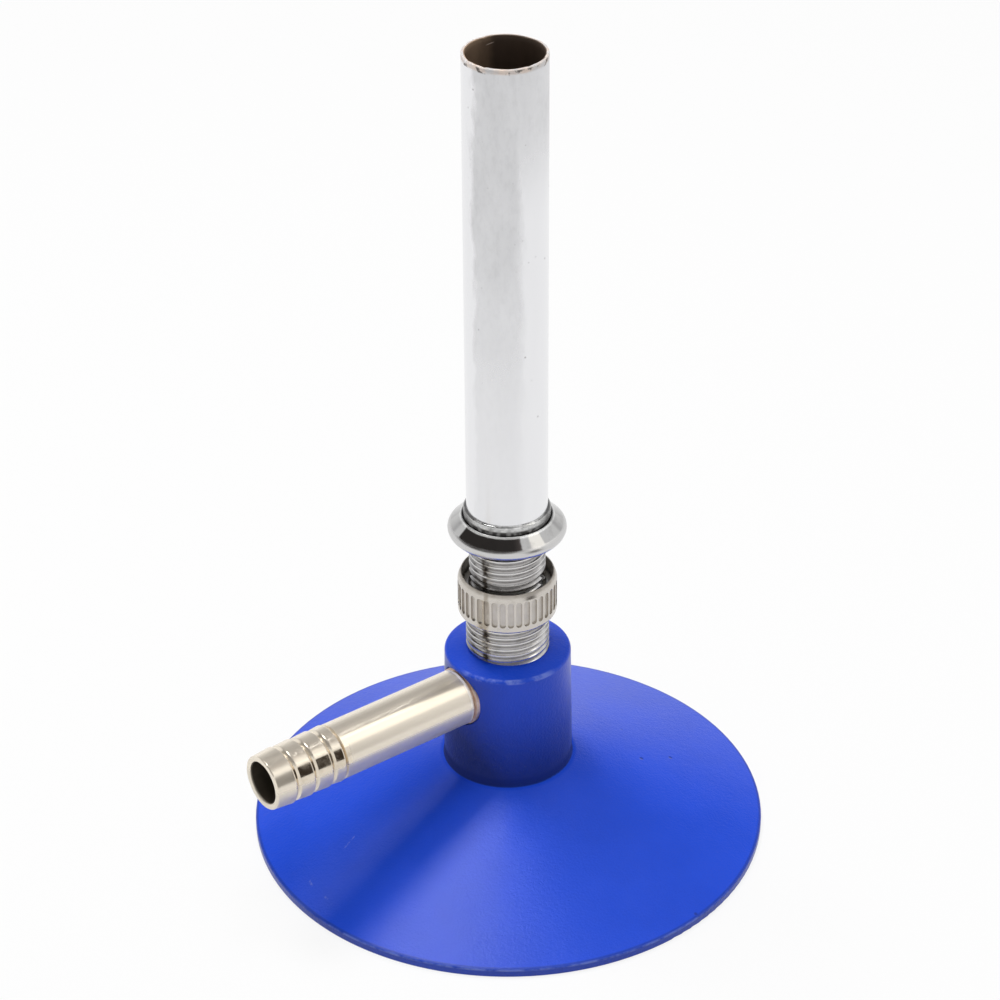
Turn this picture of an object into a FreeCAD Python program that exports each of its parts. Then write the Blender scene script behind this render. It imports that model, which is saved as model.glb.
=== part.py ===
"""Bunsen burner with a screw-up air nut, one solid per piece.

Millimetres, +Z up. The origin is the centre of the circle the base stands on, the burner's axis
is Z, and the hose nozzle points along -X. Each piece is written to parts/NAME.step.
"""
import FreeCAD
import Part
import math
import os

Vector = FreeCAD.Vector

# Base casting: a shallow cone with a round boss in its middle, hollow underneath.
BASE_RADIUS = 42.4
RIM_HEIGHT = 1.5
RIM_EDGE_ROUND = 0.35
CONE_RISE = 11.8
BOSS_RADIUS = 10.3
BOSS_DRAFT = 0.3
BOSS_HEIGHT = 20.7
BOSS_CROWN_RISE = 0.7
BOSS_EDGE_ROUND = 0.5
BOSS_FOOT_ROUND = 0.3
CASTING_WALL = 3.2
HOLLOW_CEILING_ROUND = 2.5

# Gas chamber drilled in the boss, and the washer on the ledge above it.
CHAMBER_RADIUS = 4.6
CHAMBER_BELOW_NOZZLE = 5.1
CHAMBER_POINT_DEPTH = 1.6
STEM_WASHER_THICKNESS = 0.4
STEM_WASHER_BORE_RADIUS = 3.6

# Threads: all of the stem's threads share one pitch and one tooth shape.
THREAD_PITCH = 1.1
THREAD_DEPTH = 0.55
THREAD_CREST_WIDTH = 0.22
THREAD_VALLEY_WIDTH = 0.26

# Air stem: a threaded foot in the boss, a thinner threaded neck above it, bored through.
FOOT_THREAD_RADIUS = 6.75
FOOT_INSERTION = 2.7
FOOT_LENGTH = 9.4
NECK_THREAD_RADIUS = 6.15
NECK_LENGTH = 16.9
NECK_WALL = 1.1
AIR_PORT_RADIUS = 2.1
AIR_PORT_RISE = 6.6
AIR_PORT_TURN = -45.0

# Gas jet, screwed up into the stem's foot.
JET_RECESS = 0.55
JET_BODY_RADIUS = 3.2
JET_BODY_LENGTH = 4.4
JET_BODY_EDGE_ROUND = 0.3
JET_NECK_RADIUS = 2.6
JET_NECK_LENGTH = 2.4
JET_NECK_SEAT = 2.05
JET_TAPER_LENGTH = 4.25
JET_TIP_RADIUS = 1.0
JET_BORE_RADIUS = 1.4
JET_ORIFICE_RADIUS = 0.45
JET_ORIFICE_LENGTH = 1.2
JET_SLOT_WIDTH = 1.0
JET_SLOT_DEPTH = 1.1

# Air nut: knurled outside, threaded inside, with a thin-walled cup on top.
NUT_FOOT_GAP = 0.1
NUT_HEIGHT = 7.4
NUT_FOOT_LAND = 1.2
NUT_FOOT_EDGE_ROUND = 0.2
NUT_FOOT_RISE = 0.5
NUT_FOOT_ROUND = 0.4
NUT_CUP_LEDGE = 1.22
NUT_CUP_WALL = 0.63
NUT_CUP_DEPTH = 2.7
NUT_RIM_WIDTH = 0.16
NUT_RIM_ROUND = 0.06
NUT_SHOULDER_DROP = 1.15
NUT_SHOULDER_ROUND = 0.9
KNURL_FLUTES = 38
KNURL_FLUTE_WIDTH = 0.98
KNURL_FLUTE_DEPTH = 0.28
KNURL_FOOT_RISE = 1.45
KNURL_TOP_DROP = 1.2

# Washer lying in the nut's cup.
CUP_WASHER_THICKNESS = 0.5

# Bevelled collar: screwed on the stem's neck, with a cone below that the nut's cup closes on.
STEM_END_GAP = 0.2
COLLAR_THREAD_LENGTH = 3.56
COLLAR_FOOT_LAND = 0.17
COLLAR_CONE_RUN = 3.85
COLLAR_CONE_RISE = 2.22
COLLAR_EDGE_ROUND = 1.0
COLLAR_BEVEL_RISE = 2.6
COLLAR_SHELF_WIDTH = 0.35
COLLAR_SHELF_EDGE_ROUND = 0.06
COLLAR_GROOVE_DEPTH = 0.2
COLLAR_NECK_PROUD = 0.5
COLLAR_NECK_RISE = 1.54
COLLAR_NECK_ROUND = 0.42

# Barrel: a plain tube whose foot is turned down to a spigot for the collar's socket.
BARREL_RADIUS = 6.5
BARREL_WALL = 0.55
BARREL_LENGTH = 77.9
BARREL_SPIGOT_STEP = 0.22
BARREL_LIP_ROUND = 0.16

# Hose nozzle: its shank screws into the boss, and barbs at the open end hold the hose.
NOZZLE_DROP = 5.6
NOZZLE_TUBE_RADIUS = 4.65
NOZZLE_WALL = 1.1
NOZZLE_LENGTH = 38.35
NOZZLE_BORE_DEPTH = 34.2
NOZZLE_SHANK_RADIUS = 2.5
NOZZLE_SHANK_WALL = 0.8
NOZZLE_SHANK_SETBACK = 0.2
NOZZLE_SHOULDER_CHAMFER = 0.55
NOZZLE_TIP_TAPER = 0.15
NOZZLE_TIP_ROUND = 0.25
FIRST_BARB_LENGTH = 3.5
BARB_PITCH = 3.4
MIDDLE_BARBS = 2
LAST_BARB_LENGTH = 2.5
BARB_PROUD = 0.15
BARB_CREST_ROUND = 0.25
BARB_RISE_LENGTH = 0.3
BARB_RISE_ROUND = 0.4
BARB_GROOVE_DEPTH = 0.5
BARB_GROOVE_WIDTH = 0.5

# Flat cut into the boss's side, and the washer that the nozzle's shoulder pulls against it.
SPOT_FACE_DEPTH = 1.05
SPOT_FACE_CLEARANCE = 0.2
NOZZLE_WASHER_PROUD = 0.15
NOZZLE_WASHER_THICKNESS = 0.6

# Clearances: fixed seats, fixed threads, the nut's running thread, and the cup washer.
SEAT_CLEARANCE = 0.03
FIXED_THREAD_CLEARANCE = 0.05
RUNNING_THREAD_CLEARANCE = 0.1
CUP_WASHER_FLOOR_GAP = 0.05
CUP_WASHER_BORE_CLEARANCE = 0.15
CUP_WASHER_RIM_CLEARANCE = 0.32

# How far a cutting shape reaches past the face that it opens.
OVERRUN = 1.0

# Heights that follow from the sizes above, from the bench upwards.
CONE_TOP_Z = RIM_HEIGHT + CONE_RISE
BOSS_EDGE_Z = CONE_TOP_Z + BOSS_HEIGHT
NOZZLE_Z = BOSS_EDGE_Z - NOZZLE_DROP
CROWN_Z = BOSS_EDGE_Z + BOSS_CROWN_RISE
STEM_FOOT_Z = CROWN_Z - FOOT_INSERTION
STEM_LEDGE_Z = STEM_FOOT_Z - STEM_WASHER_THICKNESS
JET_FOOT_Z = STEM_FOOT_Z + JET_RECESS
JET_LEDGE_Z = JET_FOOT_Z + JET_BODY_LENGTH
STEM_SHOULDER_Z = STEM_FOOT_Z + FOOT_LENGTH
STEM_TOP_Z = STEM_SHOULDER_Z + NECK_LENGTH
NUT_FOOT_Z = STEM_SHOULDER_Z + NUT_FOOT_GAP
NUT_TOP_Z = NUT_FOOT_Z + NUT_HEIGHT
NUT_CUP_Z = NUT_TOP_Z - NUT_CUP_DEPTH
COLLAR_LEDGE_Z = STEM_TOP_Z + STEM_END_GAP
COLLAR_FOOT_Z = COLLAR_LEDGE_Z - COLLAR_THREAD_LENGTH
COLLAR_EDGE_Z = COLLAR_FOOT_Z + COLLAR_CONE_RISE
COLLAR_SHELF_Z = COLLAR_EDGE_Z + COLLAR_BEVEL_RISE
COLLAR_NECK_Z = COLLAR_SHELF_Z + COLLAR_NECK_RISE
BARREL_TOP_Z = COLLAR_NECK_Z + BARREL_LENGTH

# Radii that fitting pieces share.
BOSS_FOOT_RADIUS = BOSS_RADIUS + BOSS_DRAFT
NUT_CUP_RADIUS = NECK_THREAD_RADIUS + NUT_CUP_LEDGE
NUT_RADIUS = NUT_CUP_RADIUS + NUT_CUP_WALL
BARREL_SPIGOT_RADIUS = BARREL_RADIUS - BARREL_SPIGOT_STEP
NOZZLE_WASHER_RADIUS = NOZZLE_TUBE_RADIUS + NOZZLE_WASHER_PROUD

# Places along the nozzle, counted from the burner's axis.
SPOT_FACE_REACH = BOSS_RADIUS - SPOT_FACE_DEPTH
NOZZLE_SHOULDER_REACH = SPOT_FACE_REACH + NOZZLE_WASHER_THICKNESS
NOZZLE_TIP_REACH = NOZZLE_SHOULDER_REACH + NOZZLE_LENGTH

Z_AXIS = Vector(0, 0, 1)
ORIGIN = Vector(0, 0, 0)


def turned(corners):
    """Solid turned about Z from (radius, height) corners; a third value rounds that corner."""
    points = [Vector(corner[0], 0, corner[1]) for corner in corners]
    rounds = [corner[2] if len(corner) > 2 else 0.0 for corner in corners]
    count = len(points)
    edges = []
    for i in range(count):
        arc = corner_cut(points, rounds, i)
        next_arc = corner_cut(points, rounds, (i + 1) % count)
        if rounds[i] > 0:
            edges.append(Part.Arc(*arc).toShape())
        edges.append(Part.makeLine(arc[2], next_arc[0]))
    return Part.Face(Part.Wire(edges)).revolve(ORIGIN, Z_AXIS, 360)


def corner_cut(points, rounds, i):
    """First, middle and last point of the round at corner i, all the corner itself if sharp."""
    corner = points[i]
    radius = rounds[i]
    if radius == 0:
        return corner, corner, corner
    back = (points[i - 1] - corner).normalize()
    ahead = (points[(i + 1) % len(points)] - corner).normalize()
    half = back.getAngle(ahead) / 2
    tangent = radius / math.tan(half)
    inward = (back + ahead).normalize()
    middle = corner + inward * (radius / math.sin(half) - radius)
    return corner + back * tangent, middle, corner + ahead * tangent


def ring(inner_radius, outer_radius, low_z, high_z):
    """Flat ring about Z."""
    return turned(
        [
            (inner_radius, low_z),
            (outer_radius, low_z),
            (outer_radius, high_z),
            (inner_radius, high_z),
        ]
    )


def helix_turn(radius, start_z):
    """One turn of a right-hand helix that starts over +X at start_z."""
    turn = Part.makeHelix(THREAD_PITCH, THREAD_PITCH, radius).Edges[0]
    turn.translate(Vector(0, 0, start_z))
    return turn


def threaded_rod(crest_radius, low_z, high_z, clearance):
    """Threaded rod reaching past low_z and high_z, grown all round by the clearance.

    Each turn is four ruled strips: the two flanks, the crest and the root. Every rod's helix
    starts a whole number of pitches from the stem's shoulder, so all rods are in step.
    """
    root_radius = crest_radius - THREAD_DEPTH + clearance
    top_radius = crest_radius + clearance
    flank_width = (THREAD_PITCH - THREAD_CREST_WIDTH - THREAD_VALLEY_WIDTH) / 2
    slope = flank_width / THREAD_DEPTH
    half_crest = THREAD_CREST_WIDTH / 2 + clearance * (math.hypot(1, slope) - slope)
    half_foot = half_crest + flank_width
    turns_down = math.ceil((STEM_SHOULDER_Z - low_z) / THREAD_PITCH) + 1
    start_z = STEM_SHOULDER_Z - turns_down * THREAD_PITCH
    turns = math.ceil((high_z - start_z) / THREAD_PITCH) + 1
    tooth = [
        (root_radius, -half_foot),
        (top_radius, -half_crest),
        (top_radius, half_crest),
        (root_radius, half_foot),
        (root_radius, THREAD_PITCH - half_foot),
    ]
    strips = []
    for k in range(turns):
        turn_z = start_z + k * THREAD_PITCH
        for (radius, height), (next_radius, next_height) in zip(tooth, tooth[1:]):
            lower = helix_turn(radius, turn_z + height)
            upper = helix_turn(next_radius, turn_z + next_height)
            strips.append(Part.makeRuledSurface(lower, upper))
    for end_z in (start_z, start_z + turns * THREAD_PITCH):
        foot = Vector(0, 0, end_z - half_foot)
        head = Vector(0, 0, end_z - half_foot + THREAD_PITCH)
        ramp = Part.makeRuledSurface(Part.makeLine(foot, head), helix_turn(root_radius, foot.z))
        step = [foot] + [Vector(radius, 0, end_z + height) for radius, height in tooth] + [head]
        strips.append(ramp)
        strips.append(Part.Face(Part.makePolygon(step + [foot])))
    shell = Part.makeCompound(strips)
    shell.sewShape()
    rod = Part.Solid(shell)
    if rod.Volume < 0:
        rod.reverse()
    return rod


def along_nozzle(shape):
    """Turn a shape made about Z so that its +Z runs out along the nozzle, and lift it to the nozzle."""
    shape.rotate(ORIGIN, Vector(0, 1, 0), -90)
    shape.translate(Vector(0, 0, NOZZLE_Z))
    return shape


def make_base():
    """Painted casting: cone, boss, hollow underside, stem hole, gas chamber and nozzle hole."""
    hole_radius = FOOT_THREAD_RADIUS + FIXED_THREAD_CLEARANCE
    body = turned(
        [
            (0, 0),
            (BASE_RADIUS, 0, RIM_EDGE_ROUND),
            (BASE_RADIUS, RIM_HEIGHT, RIM_EDGE_ROUND),
            (BOSS_FOOT_RADIUS, CONE_TOP_Z, BOSS_FOOT_ROUND),
            (BOSS_RADIUS, BOSS_EDGE_Z, BOSS_EDGE_ROUND),
            (hole_radius, CROWN_Z),
            (0, CROWN_Z),
        ]
    )
    body = body.cut(underside_hollow())
    chamber_floor = NOZZLE_Z - CHAMBER_BELOW_NOZZLE
    chamber = turned(
        [
            (0, chamber_floor - CHAMBER_POINT_DEPTH),
            (CHAMBER_RADIUS, chamber_floor),
            (CHAMBER_RADIUS, STEM_LEDGE_Z + OVERRUN),
            (0, STEM_LEDGE_Z + OVERRUN),
        ]
    )
    tap = threaded_rod(FOOT_THREAD_RADIUS, STEM_LEDGE_Z, CROWN_Z, FIXED_THREAD_CLEARANCE)
    reach = ring(0, BOSS_FOOT_RADIUS, STEM_LEDGE_Z, CROWN_Z + OVERRUN)
    body = body.cut(tap.common(reach)).cut(chamber)
    face_radius = NOZZLE_WASHER_RADIUS + SPOT_FACE_CLEARANCE
    spot_face = ring(0, face_radius, SPOT_FACE_REACH, BOSS_FOOT_RADIUS + OVERRUN)
    shank_hole = ring(0, NOZZLE_SHANK_RADIUS + SEAT_CLEARANCE, 0, SPOT_FACE_REACH + OVERRUN)
    return body.cut(along_nozzle(spot_face)).cut(along_nozzle(shank_hole))


def underside_hollow():
    """Space under the casting, which leaves an even wall below the cone."""
    cone_run = BASE_RADIUS - BOSS_FOOT_RADIUS
    drop = CASTING_WALL * math.hypot(cone_run, CONE_RISE) / cone_run
    ceiling_z = CONE_TOP_Z - drop
    mouth_radius = BOSS_FOOT_RADIUS + (ceiling_z + OVERRUN) * cone_run / CONE_RISE
    return turned(
        [
            (0, -OVERRUN),
            (mouth_radius, -OVERRUN),
            (BOSS_FOOT_RADIUS, ceiling_z, HOLLOW_CEILING_ROUND),
            (0, ceiling_z),
        ]
    )


def make_stem_washer():
    """Soft washer that seals the stem's foot on the ledge in the boss."""
    outer = FOOT_THREAD_RADIUS - THREAD_DEPTH - SEAT_CLEARANCE
    return ring(STEM_WASHER_BORE_RADIUS, outer, STEM_LEDGE_Z, STEM_FOOT_Z)


def make_air_stem():
    """Stem with the foot thread, the neck thread, the stepped bore and two air ports."""
    foot_root = FOOT_THREAD_RADIUS - THREAD_DEPTH
    foot_envelope = turned(
        [
            (0, STEM_FOOT_Z),
            (foot_root, STEM_FOOT_Z),
            (FOOT_THREAD_RADIUS + OVERRUN, STEM_FOOT_Z + THREAD_DEPTH + OVERRUN),
            (FOOT_THREAD_RADIUS + OVERRUN, STEM_SHOULDER_Z),
            (0, STEM_SHOULDER_Z),
        ]
    )
    neck_root = NECK_THREAD_RADIUS - THREAD_DEPTH
    neck_envelope = turned(
        [
            (0, STEM_SHOULDER_Z),
            (NECK_THREAD_RADIUS + OVERRUN, STEM_SHOULDER_Z),
            (NECK_THREAD_RADIUS + OVERRUN, STEM_TOP_Z - THREAD_DEPTH - OVERRUN),
            (neck_root, STEM_TOP_Z),
            (0, STEM_TOP_Z),
        ]
    )
    foot = threaded_rod(FOOT_THREAD_RADIUS, STEM_FOOT_Z, STEM_SHOULDER_Z, 0).common(foot_envelope)
    neck = threaded_rod(NECK_THREAD_RADIUS, STEM_SHOULDER_Z, STEM_TOP_Z, 0).common(neck_envelope)
    return foot.fuse(neck).cut(stem_bore(neck_root - NECK_WALL)).cut(air_ports())


def stem_bore(mixing_radius):
    """Stepped hole through the stem: seat for the jet below, open mixing bore above."""
    body_seat = JET_BODY_RADIUS + SEAT_CLEARANCE
    neck_seat = JET_NECK_RADIUS + SEAT_CLEARANCE
    mixing_floor = JET_LEDGE_Z + JET_NECK_SEAT
    return turned(
        [
            (0, STEM_FOOT_Z - OVERRUN),
            (body_seat, STEM_FOOT_Z - OVERRUN),
            (body_seat, JET_LEDGE_Z),
            (neck_seat, JET_LEDGE_Z),
            (neck_seat, mixing_floor),
            (mixing_radius, mixing_floor),
            (mixing_radius, STEM_TOP_Z + OVERRUN),
            (0, STEM_TOP_Z + OVERRUN),
        ]
    )


def air_ports():
    """One drilling right across the stem, which opens an air port on either side."""
    reach = NECK_THREAD_RADIUS + OVERRUN
    drilling = ring(0, AIR_PORT_RADIUS, -reach, reach)
    drilling.rotate(ORIGIN, Vector(0, 1, 0), 90)
    drilling.rotate(ORIGIN, Z_AXIS, AIR_PORT_TURN)
    drilling.translate(Vector(0, 0, STEM_SHOULDER_Z + AIR_PORT_RISE))
    return drilling


def make_gas_jet():
    """Jet with a slotted body, a neck and a tapered tip with a fine orifice."""
    neck_top = JET_LEDGE_Z + JET_NECK_LENGTH
    tip_z = neck_top + JET_TAPER_LENGTH
    body = turned(
        [
            (JET_BORE_RADIUS, JET_FOOT_Z),
            (JET_BODY_RADIUS, JET_FOOT_Z, JET_BODY_EDGE_ROUND),
            (JET_BODY_RADIUS, JET_LEDGE_Z),
            (JET_NECK_RADIUS, JET_LEDGE_Z),
            (JET_NECK_RADIUS, neck_top),
            (JET_TIP_RADIUS, tip_z),
            (JET_ORIFICE_RADIUS, tip_z),
            (JET_ORIFICE_RADIUS, tip_z - JET_ORIFICE_LENGTH),
            (JET_BORE_RADIUS, neck_top),
        ]
    )
    slot_reach = JET_BODY_RADIUS + OVERRUN
    slot = Part.makeBox(2 * slot_reach, JET_SLOT_WIDTH, JET_SLOT_DEPTH + OVERRUN)
    slot.translate(Vector(-slot_reach, -JET_SLOT_WIDTH / 2, JET_FOOT_Z - OVERRUN))
    return body.cut(slot)


def make_air_nut():
    """Hand nut: fluted grip, thread for the stem's neck, and the cup that closes on the collar."""
    body = turned(
        [
            (0, NUT_FOOT_Z),
            (NECK_THREAD_RADIUS + NUT_FOOT_LAND, NUT_FOOT_Z, NUT_FOOT_EDGE_ROUND),
            (NUT_RADIUS, NUT_FOOT_Z + NUT_FOOT_RISE, NUT_FOOT_ROUND),
            (NUT_RADIUS, NUT_TOP_Z - NUT_SHOULDER_DROP, NUT_SHOULDER_ROUND),
            (NUT_CUP_RADIUS + NUT_RIM_WIDTH, NUT_TOP_Z, NUT_RIM_ROUND),
            (NUT_CUP_RADIUS, NUT_TOP_Z, NUT_RIM_ROUND),
            (NUT_CUP_RADIUS, NUT_CUP_Z),
            (0, NUT_CUP_Z),
        ]
    )
    tap = threaded_rod(NECK_THREAD_RADIUS, NUT_FOOT_Z, NUT_TOP_Z, RUNNING_THREAD_CLEARANCE)
    return body.cut(tap).cut(knurl_flutes())


def knurl_flutes():
    """Shallow upright flutes with arched ends, spread round the nut."""
    half_width = KNURL_FLUTE_WIDTH / 2
    foot = NUT_FOOT_Z + KNURL_FOOT_RISE + half_width
    head = NUT_TOP_Z - KNURL_TOP_DROP - half_width
    floor = NUT_RADIUS - KNURL_FLUTE_DEPTH
    foot_left = Vector(floor, -half_width, foot)
    foot_right = Vector(floor, half_width, foot)
    head_left = Vector(floor, -half_width, head)
    head_right = Vector(floor, half_width, head)
    outline = Part.Wire(
        [
            Part.makeLine(foot_left, head_left),
            Part.Arc(head_left, Vector(floor, 0, head + half_width), head_right).toShape(),
            Part.makeLine(head_right, foot_right),
            Part.Arc(foot_right, Vector(floor, 0, foot - half_width), foot_left).toShape(),
        ]
    )
    flute = Part.Face(outline).extrude(Vector(KNURL_FLUTE_DEPTH + OVERRUN, 0, 0))
    flutes = []
    for k in range(KNURL_FLUTES):
        copy = flute.copy()
        copy.rotate(ORIGIN, Z_AXIS, 360.0 * k / KNURL_FLUTES)
        flutes.append(copy)
    return Part.makeCompound(flutes)


def make_cup_washer():
    """Washer in the nut's cup: it rides up and down with the nut but needn't turn with it."""
    low = NUT_CUP_Z + CUP_WASHER_FLOOR_GAP
    inner = NECK_THREAD_RADIUS + CUP_WASHER_BORE_CLEARANCE
    outer = NUT_CUP_RADIUS - CUP_WASHER_RIM_CLEARANCE
    return ring(inner, outer, low, low + CUP_WASHER_THICKNESS)


def make_collar():
    """Bevelled collar: thread for the stem's neck below, socket for the barrel above."""
    foot_radius = NECK_THREAD_RADIUS + COLLAR_FOOT_LAND
    neck_radius = BARREL_RADIUS + COLLAR_NECK_PROUD
    body = turned(
        [
            (0, COLLAR_FOOT_Z),
            (foot_radius, COLLAR_FOOT_Z),
            (foot_radius + COLLAR_CONE_RUN, COLLAR_EDGE_Z, COLLAR_EDGE_ROUND),
            (neck_radius + COLLAR_SHELF_WIDTH, COLLAR_SHELF_Z, COLLAR_SHELF_EDGE_ROUND),
            (neck_radius + COLLAR_GROOVE_DEPTH, COLLAR_SHELF_Z),
            (neck_radius, COLLAR_SHELF_Z - COLLAR_GROOVE_DEPTH),
            (neck_radius, COLLAR_NECK_Z, COLLAR_NECK_ROUND),
            (0, COLLAR_NECK_Z),
        ]
    )
    socket_radius = BARREL_SPIGOT_RADIUS + SEAT_CLEARANCE
    socket = ring(0, socket_radius, COLLAR_LEDGE_Z, COLLAR_NECK_Z + OVERRUN)
    tap = threaded_rod(NECK_THREAD_RADIUS, COLLAR_FOOT_Z, COLLAR_LEDGE_Z, FIXED_THREAD_CLEARANCE)
    reach = ring(0, foot_radius, COLLAR_FOOT_Z - OVERRUN, COLLAR_LEDGE_Z)
    return body.cut(tap.common(reach)).cut(socket)


def make_barrel():
    """Thin-walled tube that stands on the collar's neck, with its spigot in the collar's socket."""
    inner = BARREL_RADIUS - BARREL_WALL
    return turned(
        [
            (inner, COLLAR_LEDGE_Z),
            (BARREL_SPIGOT_RADIUS, COLLAR_LEDGE_Z),
            (BARREL_SPIGOT_RADIUS, COLLAR_NECK_Z),
            (BARREL_RADIUS, COLLAR_NECK_Z),
            (BARREL_RADIUS, BARREL_TOP_Z, BARREL_LIP_ROUND),
            (inner, BARREL_TOP_Z, BARREL_LIP_ROUND),
        ]
    )


def make_nozzle():
    """Hose nozzle: screwed shank, shoulder, plain tube and a row of barbs at the open end."""
    shank_end = CHAMBER_RADIUS + NOZZLE_SHANK_SETBACK
    shank_bore = NOZZLE_SHANK_RADIUS - NOZZLE_SHANK_WALL
    bore = NOZZLE_TUBE_RADIUS - NOZZLE_WALL
    bore_floor = NOZZLE_TIP_REACH - NOZZLE_BORE_DEPTH
    corners = [
        (shank_bore, shank_end),
        (NOZZLE_SHANK_RADIUS, shank_end),
        (NOZZLE_SHANK_RADIUS, NOZZLE_SHOULDER_REACH),
        (NOZZLE_TUBE_RADIUS - NOZZLE_SHOULDER_CHAMFER, NOZZLE_SHOULDER_REACH),
        (NOZZLE_TUBE_RADIUS, NOZZLE_SHOULDER_REACH + NOZZLE_SHOULDER_CHAMFER),
    ]
    corners += barb_corners()
    corners += [
        (NOZZLE_TUBE_RADIUS - NOZZLE_TIP_TAPER, NOZZLE_TIP_REACH, NOZZLE_TIP_ROUND),
        (bore, NOZZLE_TIP_REACH, NOZZLE_TIP_ROUND),
        (bore, bore_floor),
        (shank_bore, bore_floor - (bore - shank_bore)),
    ]
    return along_nozzle(turned(corners))


def barb_corners():
    """Outline of the barbs from the plain tube to the last crest: a groove, a crest, a long fall."""
    crest_radius = NOZZLE_TUBE_RADIUS + BARB_PROUD
    groove_radius = NOZZLE_TUBE_RADIUS - BARB_GROOVE_DEPTH
    first_crest = NOZZLE_TIP_REACH - FIRST_BARB_LENGTH
    crests = [first_crest - k * BARB_PITCH for k in range(MIDDLE_BARBS + 1)]
    crests = [crests[-1] - LAST_BARB_LENGTH] + crests[::-1]
    corners = [(NOZZLE_TUBE_RADIUS, crests[0] - BARB_GROOVE_WIDTH)]
    for crest, next_crest in zip(crests, crests[1:]):
        fall_end = next_crest - BARB_GROOVE_WIDTH - BARB_RISE_LENGTH
        corners.append((groove_radius, crest - BARB_GROOVE_WIDTH / 2))
        corners.append((crest_radius, crest, BARB_CREST_ROUND))
        corners.append((NOZZLE_TUBE_RADIUS, fall_end, BARB_RISE_ROUND))
    corners.append((groove_radius, first_crest - BARB_GROOVE_WIDTH / 2))
    corners.append((crest_radius, first_crest, BARB_CREST_ROUND))
    return corners


def make_nozzle_washer():
    """Washer between the nozzle's shoulder and the flat on the boss."""
    bore = NOZZLE_SHANK_RADIUS + SEAT_CLEARANCE
    return along_nozzle(ring(bore, NOZZLE_WASHER_RADIUS, SPOT_FACE_REACH, NOZZLE_SHOULDER_REACH))


MAKERS = {
    "base": make_base,
    "stem_washer": make_stem_washer,
    "air_stem": make_air_stem,
    "gas_jet": make_gas_jet,
    "air_nut": make_air_nut,
    "cup_washer": make_cup_washer,
    "barrel_collar": make_collar,
    "barrel": make_barrel,
    "hose_nozzle": make_nozzle,
    "nozzle_washer": make_nozzle_washer,
}

os.makedirs("parts", exist_ok=True)
for name, make in MAKERS.items():
    shape = make()
    if len(shape.Solids) != 1 or not shape.isValid():
        raise RuntimeError(name + " is not one sound solid")
    shape.Solids[0].exportStep(os.path.join("parts", name + ".step"))
    print(name, round(shape.Volume, 2), "mm3")
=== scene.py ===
"""Looks of a bunsen burner: a finish for every piece, a worn barrel lip, and a small studio.

Lengths are metres in the part's own frame, +Z up. Finishes work in millimetres on the piece.
"""
import logging
import math
from dataclasses import dataclass
from enum import Enum, IntEnum
from typing import Any, Union

import bmesh
import bpy
from mathutils import Matrix, Vector


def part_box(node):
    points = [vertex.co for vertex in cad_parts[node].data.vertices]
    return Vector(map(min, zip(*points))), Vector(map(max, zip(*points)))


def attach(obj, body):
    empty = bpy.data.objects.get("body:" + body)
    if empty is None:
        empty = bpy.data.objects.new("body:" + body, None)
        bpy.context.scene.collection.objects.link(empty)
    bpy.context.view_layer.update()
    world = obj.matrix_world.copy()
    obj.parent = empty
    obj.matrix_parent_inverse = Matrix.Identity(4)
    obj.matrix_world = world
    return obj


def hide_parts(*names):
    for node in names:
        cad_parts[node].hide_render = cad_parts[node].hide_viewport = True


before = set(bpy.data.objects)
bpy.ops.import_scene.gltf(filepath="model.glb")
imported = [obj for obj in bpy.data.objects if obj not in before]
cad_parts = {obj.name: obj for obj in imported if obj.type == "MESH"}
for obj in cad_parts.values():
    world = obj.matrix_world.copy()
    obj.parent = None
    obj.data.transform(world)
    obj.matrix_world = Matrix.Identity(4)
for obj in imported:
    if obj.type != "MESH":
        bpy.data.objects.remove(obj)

log = logging.getLogger("burner")

Number = Union[float, "Wire"]
Span = tuple[float, float]
Triple = tuple[float, float, float]
Colour = Triple

MM = 0.001
NOISE_MIDDLE = 0.5
UPRIGHT = Vector((0.0, 0.0, 1.0))
CENTRE = Vector((0.0, 0.0, 0.0))
FRONT_TURN = math.radians(-37.15)
TO_RIGHT = Vector((math.cos(FRONT_TURN), math.sin(FRONT_TURN), 0.0))
TO_FRONT = Vector((math.sin(FRONT_TURN), -math.cos(FRONT_TURN), 0.0))
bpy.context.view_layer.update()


class Slot(str, Enum):
    """Material slots of the part's record."""

    BLUE_PAINT = "blue_paint"
    BRIGHT_PLATE = "bright_plate"
    SATIN_NICKEL = "satin_nickel"
    WARM_NICKEL = "warm_nickel"
    BRASS = "brass"
    COPPER = "copper"
    FIBRE = "fibre"


class ColourMix(IntEnum):
    """Socket numbers of a Mix node that mixes colours: three inputs and the result."""

    SHARE = 0
    FIRST = 6
    SECOND = 7
    RESULT = 2


@dataclass(frozen=True)
class Grain:
    """Cloudy noise: blobs per unit, octaves, and the share of each finer octave."""

    scale: float
    detail: float = 2.0
    rough: float = 0.5


@dataclass(frozen=True)
class Spots:
    """Scattered spots: cells per unit, a spot's soft edge in its cell, and where spots gather."""

    scale: float
    edge: Span
    patch: Grain
    patch_at: Span


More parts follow.
